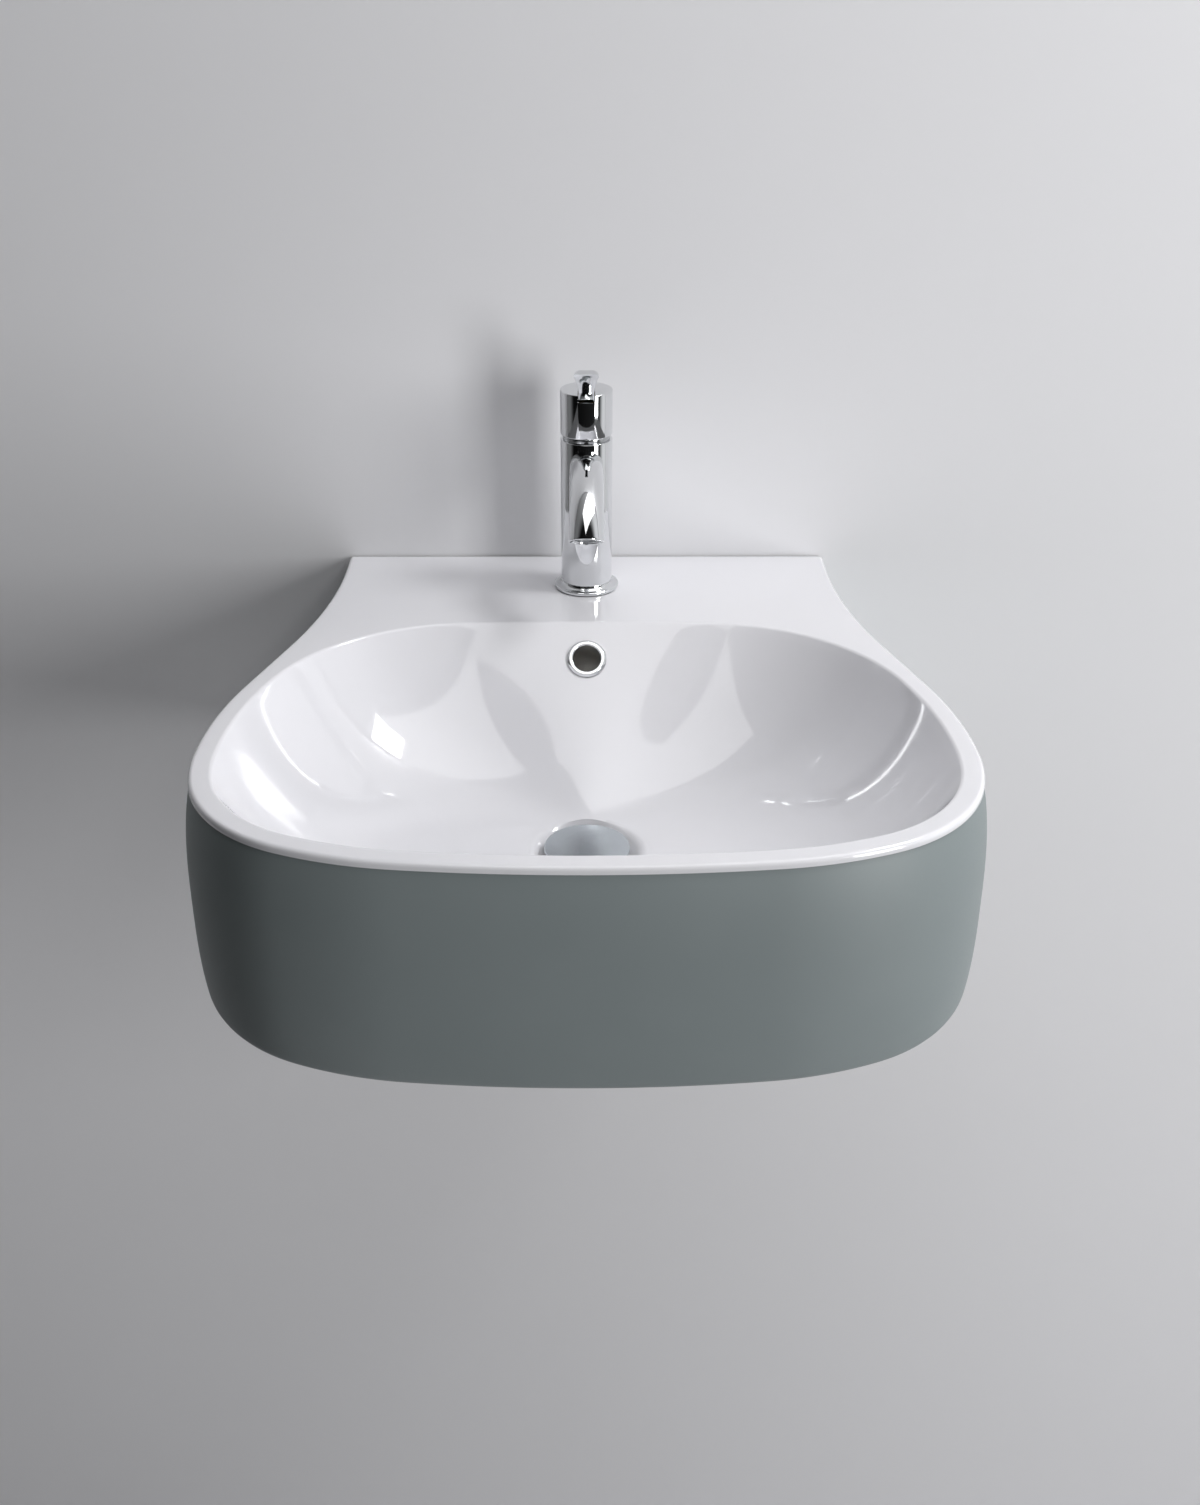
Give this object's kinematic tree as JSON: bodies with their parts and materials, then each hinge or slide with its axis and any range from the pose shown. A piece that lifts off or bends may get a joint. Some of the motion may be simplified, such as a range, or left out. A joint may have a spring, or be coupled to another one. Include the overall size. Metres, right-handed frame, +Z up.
{
  "type": "wall hung basin",
  "caption": "Wall-hung ceramic wash basin with a rounded bowl, curved skirt, overflow, click waste and a single-lever mixer tap.",
  "frame": {"origin": "midway between the two wall fixing holes, on the plane of the wall", "axes": "+Z up, +Y into the wall, +X to the right seen from the front"},
  "size_m": [0.6, 0.5595, 0.4105],
  "materials": {
    "glaze": "gloss glaze over fired clay",
    "glaze_matt": "matt grey-green glaze over fired clay",
    "clay": "bare fired clay",
    "chrome": "polished",
    "chrome_dark": "polished, in shadow",
    "brass_chromed": "turned, chromed on its flange",
    "brass": "turned",
    "steel": "satin",
    "spring_steel": "drawn wire",
    "rubber": "matt",
    "plastic_white": "moulded",
    "plastic_grey": "moulded",
    "plastic_dark": "moulded",
    "disc_ceramic": "lapped"
  },
  "bodies": {
    "basin": {"ceramic_deck": "glaze", "ceramic_rim": "glaze", "ceramic_skirt": "glaze_matt", "ceramic_back_wall": "clay", "ceramic_bowl": "glaze", "overflow_ring": "chrome", "overflow_seal": "rubber", "wall_bushes": "plastic_white", "waste_body": "brass_chromed", "waste_top_gasket": "rubber", "waste_bottom_gasket": "rubber", "waste_slip_washer": "plastic_white", "waste_backnut": "brass", "click_sleeve": "plastic_dark", "click_spring": "spring_steel", "tap_body": "chrome", "tap_base_ring": "chrome", "tap_base_seal": "rubber", "fixing_studs": "brass", "clamp_rubber": "rubber", "clamp_plate": "steel", "stud_nuts": "brass", "spout": "chrome", "aerator_housing": "chrome", "aerator_insert": "plastic_grey", "aerator_washer": "rubber", "cartridge_housing": "plastic_white", "port_seals": "rubber", "fixed_disc": "disc_ceramic", "cartridge_nut": "brass", "groove_ring": "chrome_dark"},
    "head": {"turret": "plastic_dark", "pivot_pin": "steel", "head_yoke": "brass", "head_cap": "chrome"},
    "lever_arm": {"cartridge_stem": "steel", "lever": "chrome", "lever_screw": "steel"},
    "disc": {"moving_disc": "disc_ceramic", "disc_slider": "plastic_dark"},
    "plug": {"waste_cap": "chrome", "waste_cap_seal": "rubber", "click_plunger": "plastic_grey"}
  },
  "joints": [
    {"name": "head_swivel", "type": "hinge", "parent": "basin", "child": "head", "pos_m": [0, -0.07, 0.2435], "axis": [0, 0, 1], "range_deg": [-50, 50]},
    {"name": "lever_lift", "type": "hinge", "parent": "head", "child": "lever_arm", "pos_m": [0, -0.07, 0.2435], "axis": [-1, 0, 0], "range_deg": [0, 22]},
    {"name": "disc_slide", "type": "slide", "parent": "head", "child": "disc", "axis": [0, -1, 0], "range_m": [0, 0.0024]},
    {"name": "plug_click", "type": "slide", "parent": "basin", "child": "plug", "axis": [0, 0, -1], "range_m": [0, 0.0056], "deforming": ["click_spring"]}
  ],
  "couplings": [
    {"joint": "disc_slide", "follows": "lever_lift", "m_per_rad": 0.0062}
  ]
}
